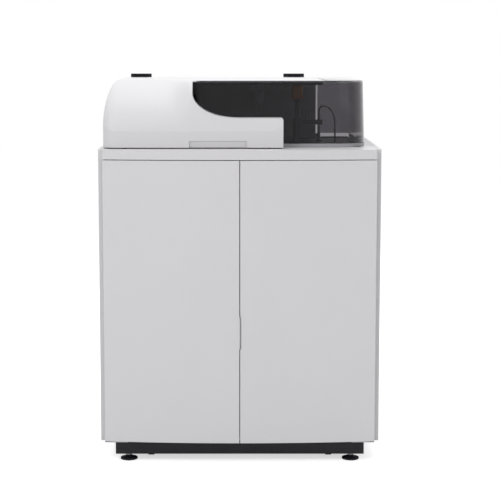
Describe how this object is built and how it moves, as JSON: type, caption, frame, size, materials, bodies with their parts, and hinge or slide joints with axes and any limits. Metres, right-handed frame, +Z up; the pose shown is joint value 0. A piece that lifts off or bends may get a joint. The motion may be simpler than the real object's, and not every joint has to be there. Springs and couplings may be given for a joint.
{
  "type": "chemistry analyzer",
  "caption": "Floor-standing clinical chemistry analyzer: white two-door cabinet on a tube base with feet and casters, and a hinged lid of white hood and smoked cover over its deck.",
  "frame": {"origin": "on the floor, under the middle of the machine", "axes": "+Z up, the doors face -Y, +X to the right as seen from the front"},
  "size_m": [0.87, 0.75, 1.198],
  "materials": {
    "white_powder_coat": "fine-textured white powder coat",
    "white_moulding": "satin white moulded plastic",
    "black_powder_coat": "satin black powder coat",
    "black_rubber": "matte black rubber",
    "brown_polyurethane": "satin brown polyurethane",
    "zinc_plate": "zinc-plated steel",
    "aluminium_case": "plain aluminium case",
    "smoked_acrylic": "polished smoked acrylic",
    "dark_grey_plastic": "fine-grained dark grey plastic",
    "grey_plastic": "satin grey plastic",
    "amber_plastic": "satin amber plastic",
    "stainless_steel": "polished stainless steel",
    "natural_polyethylene": "natural polyethylene",
    "blue_plastic": "satin blue plastic",
    "red_plastic": "satin red plastic",
    "clear_tube": "clear soft tube"
  },
  "bodies": {
    "cabinet": {"base_frame": "black_powder_coat", "cabinet_floor": "white_powder_coat", "side_panel_left": "white_powder_coat", "side_panel_right": "white_powder_coat", "rear_panel": "white_powder_coat", "centre_partition": "white_powder_coat", "door_pivot_left_high": "zinc_plate", "door_pivot_left_low": "zinc_plate", "door_pivot_right_high": "zinc_plate", "door_pivot_right_low": "zinc_plate", "worktop": "white_moulding", "instrument_deck": "dark_grey_plastic", "deck_rim": "white_moulding", "lid_upright": "white_moulding", "lid_hinge_bracket_left": "black_powder_coat", "lid_hinge_bracket_right": "black_powder_coat", "wash_post": "stainless_steel", "wash_tube": "clear_tube", "water_tank": "natural_polyethylene", "water_tank_cap": "blue_plastic", "waste_tank": "natural_polyethylene", "waste_tank_cap": "red_plastic", "detergent_bottle": "natural_polyethylene", "detergent_bottle_cap": "blue_plastic", "power_supply": "aluminium_case", "fluid_pump": "dark_grey_plastic", "power_inlet": "dark_grey_plastic", "fan_grille": "black_powder_coat"},
    "left_door": {"left_door": "white_powder_coat", "left_door_pull": "white_powder_coat"},
    "right_door": {"right_door": "white_powder_coat"},
    "lid": {"hood": "white_moulding", "smoked_cover": "smoked_acrylic", "roof_seal": "black_rubber", "lid_hinge_knuckle_left": "black_powder_coat", "lid_hinge_knuckle_right": "black_powder_coat", "hood_bumper_left": "black_rubber", "hood_bumper_right": "black_rubber"},
    "foot_front_left": {"levelling_foot_front_left": "black_rubber"},
    "foot_front_right": {"levelling_foot_front_right": "black_rubber"},
    "foot_back_left": {"levelling_foot_back_left": "black_rubber"},
    "foot_back_right": {"levelling_foot_back_right": "black_rubber"},
    "caster_front_left": {"caster_fork_front_left": "zinc_plate"},
    "caster_front_right": {"caster_fork_front_right": "zinc_plate"},
    "caster_back_left": {"caster_fork_back_left": "zinc_plate"},
    "caster_back_right": {"caster_fork_back_right": "zinc_plate"},
    "wheel_front_left": {"caster_wheel_front_left": "brown_polyurethane"},
    "wheel_front_right": {"caster_wheel_front_right": "brown_polyurethane"},
    "wheel_back_left": {"caster_wheel_back_left": "brown_polyurethane"},
    "wheel_back_right": {"caster_wheel_back_right": "brown_polyurethane"},
    "reaction_disk": {"reaction_disk": "dark_grey_plastic"},
    "reagent_disk": {"reagent_disk": "grey_plastic"},
    "probe_collar": {"probe_collar": "grey_plastic"},
    "probe_arm": {"probe_arm": "grey_plastic", "probe_needle": "stainless_steel"},
    "mixer_collar": {"mixer_collar": "dark_grey_plastic"},
    "mixer_arm": {"mixer_arm": "dark_grey_plastic", "mixer_cap": "amber_plastic"},
    "wash_head": {"wash_head": "grey_plastic"},
    "rocker_switch": {"rocker_switch": "dark_grey_plastic"}
  },
  "joints": [
    {"name": "left_door_hinge", "type": "hinge", "parent": "cabinet", "child": "left_door", "pos_m": [-0.4125, -0.34, 0.5067], "axis": [0, 0, -1], "range_deg": [0, 110]},
    {"name": "right_door_hinge", "type": "hinge", "parent": "cabinet", "child": "right_door", "pos_m": [0.4125, -0.34, 0.5067], "axis": [0, 0, 1], "range_deg": [0, 110]},
    {"name": "lid_hinge", "type": "hinge", "parent": "cabinet", "child": "lid", "pos_m": [0, 0.36, 1.193], "axis": [-1, 0, 0], "range_deg": [0, 75]},
    {"name": "foot_screw_front_left", "type": "hinge", "parent": "cabinet", "child": "foot_front_left", "pos_m": [-0.349, -0.305, 0], "axis": [0, 0, 1], "continuous": true},
    {"name": "foot_screw_front_right", "type": "hinge", "parent": "cabinet", "child": "foot_front_right", "pos_m": [0.349, -0.305, 0], "axis": [0, 0, 1], "continuous": true},
    {"name": "foot_screw_back_left", "type": "hinge", "parent": "cabinet", "child": "foot_back_left", "pos_m": [-0.349, 0.305, 0], "axis": [0, 0, 1], "continuous": true},
    {"name": "foot_screw_back_right", "type": "hinge", "parent": "cabinet", "child": "foot_back_right", "pos_m": [0.349, 0.305, 0], "axis": [0, 0, 1], "continuous": true},
    {"name": "swivel_front_left", "type": "hinge", "parent": "cabinet", "child": "caster_front_left", "pos_m": [-0.281, -0.25, 0.05], "axis": [0, 0, 1], "continuous": true},
    {"name": "swivel_front_right", "type": "hinge", "parent": "cabinet", "child": "caster_front_right", "pos_m": [0.281, -0.25, 0.05], "axis": [0, 0, 1], "continuous": true},
    {"name": "swivel_back_left", "type": "hinge", "parent": "cabinet", "child": "caster_back_left", "pos_m": [-0.281, 0.25, 0.05], "axis": [0, 0, 1], "continuous": true},
    {"name": "swivel_back_right", "type": "hinge", "parent": "cabinet", "child": "caster_back_right", "pos_m": [0.281, 0.25, 0.05], "axis": [0, 0, 1], "continuous": true},
    {"name": "wheel_front_left", "type": "hinge", "parent": "caster_front_left", "child": "wheel_front_left", "pos_m": [-0.281, -0.262, 0.025], "axis": [1, 0, 0], "continuous": true},
    {"name": "wheel_front_right", "type": "hinge", "parent": "caster_front_right", "child": "wheel_front_right", "pos_m": [0.281, -0.262, 0.025], "axis": [1, 0, 0], "continuous": true},
    {"name": "wheel_back_left", "type": "hinge", "parent": "caster_back_left", "child": "wheel_back_left", "pos_m": [-0.281, 0.262, 0.025], "axis": [1, 0, 0], "continuous": true},
    {"name": "wheel_back_right", "type": "hinge", "parent": "caster_back_right", "child": "wheel_back_right", "pos_m": [0.281, 0.262, 0.025], "axis": [1, 0, 0], "continuous": true},
    {"name": "reaction_disk_spin", "type": "hinge", "parent": "cabinet", "child": "reaction_disk", "pos_m": [0.12, 0.139, 0.978], "axis": [0, 0, 1], "continuous": true},
    {"name": "reagent_disk_spin", "type": "hinge", "parent": "cabinet", "child": "reagent_disk", "pos_m": [-0.2, 0.03, 0.978], "axis": [0, 0, 1], "continuous": true},
    {"name": "probe_turn", "type": "hinge", "parent": "cabinet", "child": "probe_collar", "pos_m": [0.056, -0.085, 1.017], "axis": [0, 0, 1], "range_deg": [-10, 80]},
    {"name": "probe_lift", "type": "slide", "parent": "probe_collar", "child": "probe_arm", "axis": [0, 0, 1], "range_m": [-0.05, 0]},
    {"name": "mixer_turn", "type": "hinge", "parent": "cabinet", "child": "mixer_collar", "pos_m": [0.188, 0.003, 1.017], "axis": [0, 0, 1], "range_deg": [-60, 0]},
    {"name": "mixer_lift", "type": "slide", "parent": "mixer_collar", "child": "mixer_arm", "axis": [0, 0, 1], "range_m": [-0.05, 0]},
    {"name": "wash_lift", "type": "slide", "parent": "cabinet", "child": "wash_head", "axis": [0, 0, 1], "range_m": [-0.034, 0]},
    {"name": "power_switch", "type": "hinge", "parent": "cabinet", "child": "rocker_switch", "pos_m": [0.32, 0.371, 0.1755], "axis": [-1, 0, 0], "range_deg": [0, 20]}
  ]
}
